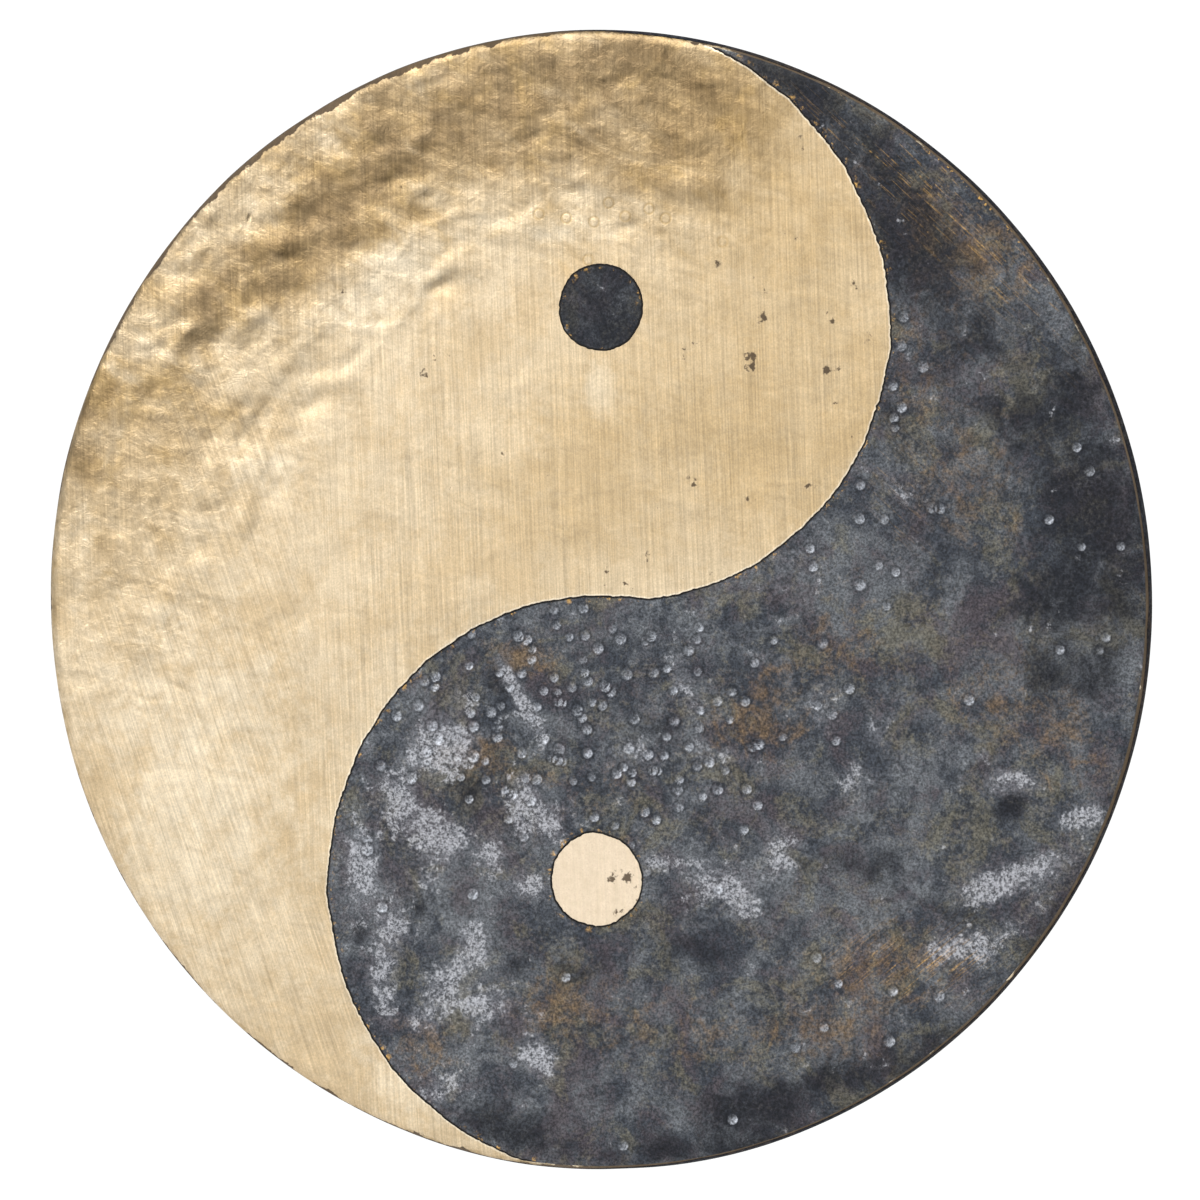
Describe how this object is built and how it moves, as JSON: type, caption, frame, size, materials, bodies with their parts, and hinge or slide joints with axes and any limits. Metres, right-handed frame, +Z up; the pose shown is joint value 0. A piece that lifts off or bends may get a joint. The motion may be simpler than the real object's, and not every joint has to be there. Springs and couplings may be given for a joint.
{
  "type": "tam tam gong",
  "caption": "Round flat-faced bronze gong with a shallow turned-back rim and hanging holes in it, its face split by an S-shaped border into a scraped bright field and a black fire-scale field.",
  "frame": {"origin": "centre of the gong's box: on its round axis, half way through its depth", "axes": "+Z up as it hangs, with both hanging holes at the top; -Y is the way the struck face looks and +Y the way the rim turns back; +X is to the right when the face is looked at"},
  "size_m": [0.5999, 0.045, 0.6],
  "materials": {
    "bronze": "hammered, scraped bright and brushed with fine near-upright strokes, with small pits",
    "black_scale": "dull blue-black fire scale, mottled grey and brown, hammered, worn through in specks",
    "brown_scale": "dull brown-black fire scale, hammered and mottled"
  },
  "bodies": {
    "root": {"bronze_plate": "bronze", "yin_field_scale": "black_scale", "dark_eye_scale": "black_scale", "rim_outer_scale": "black_scale", "rim_inner_scale": "brown_scale", "back_scale": "brown_scale"}
  },
  "joints": []
}
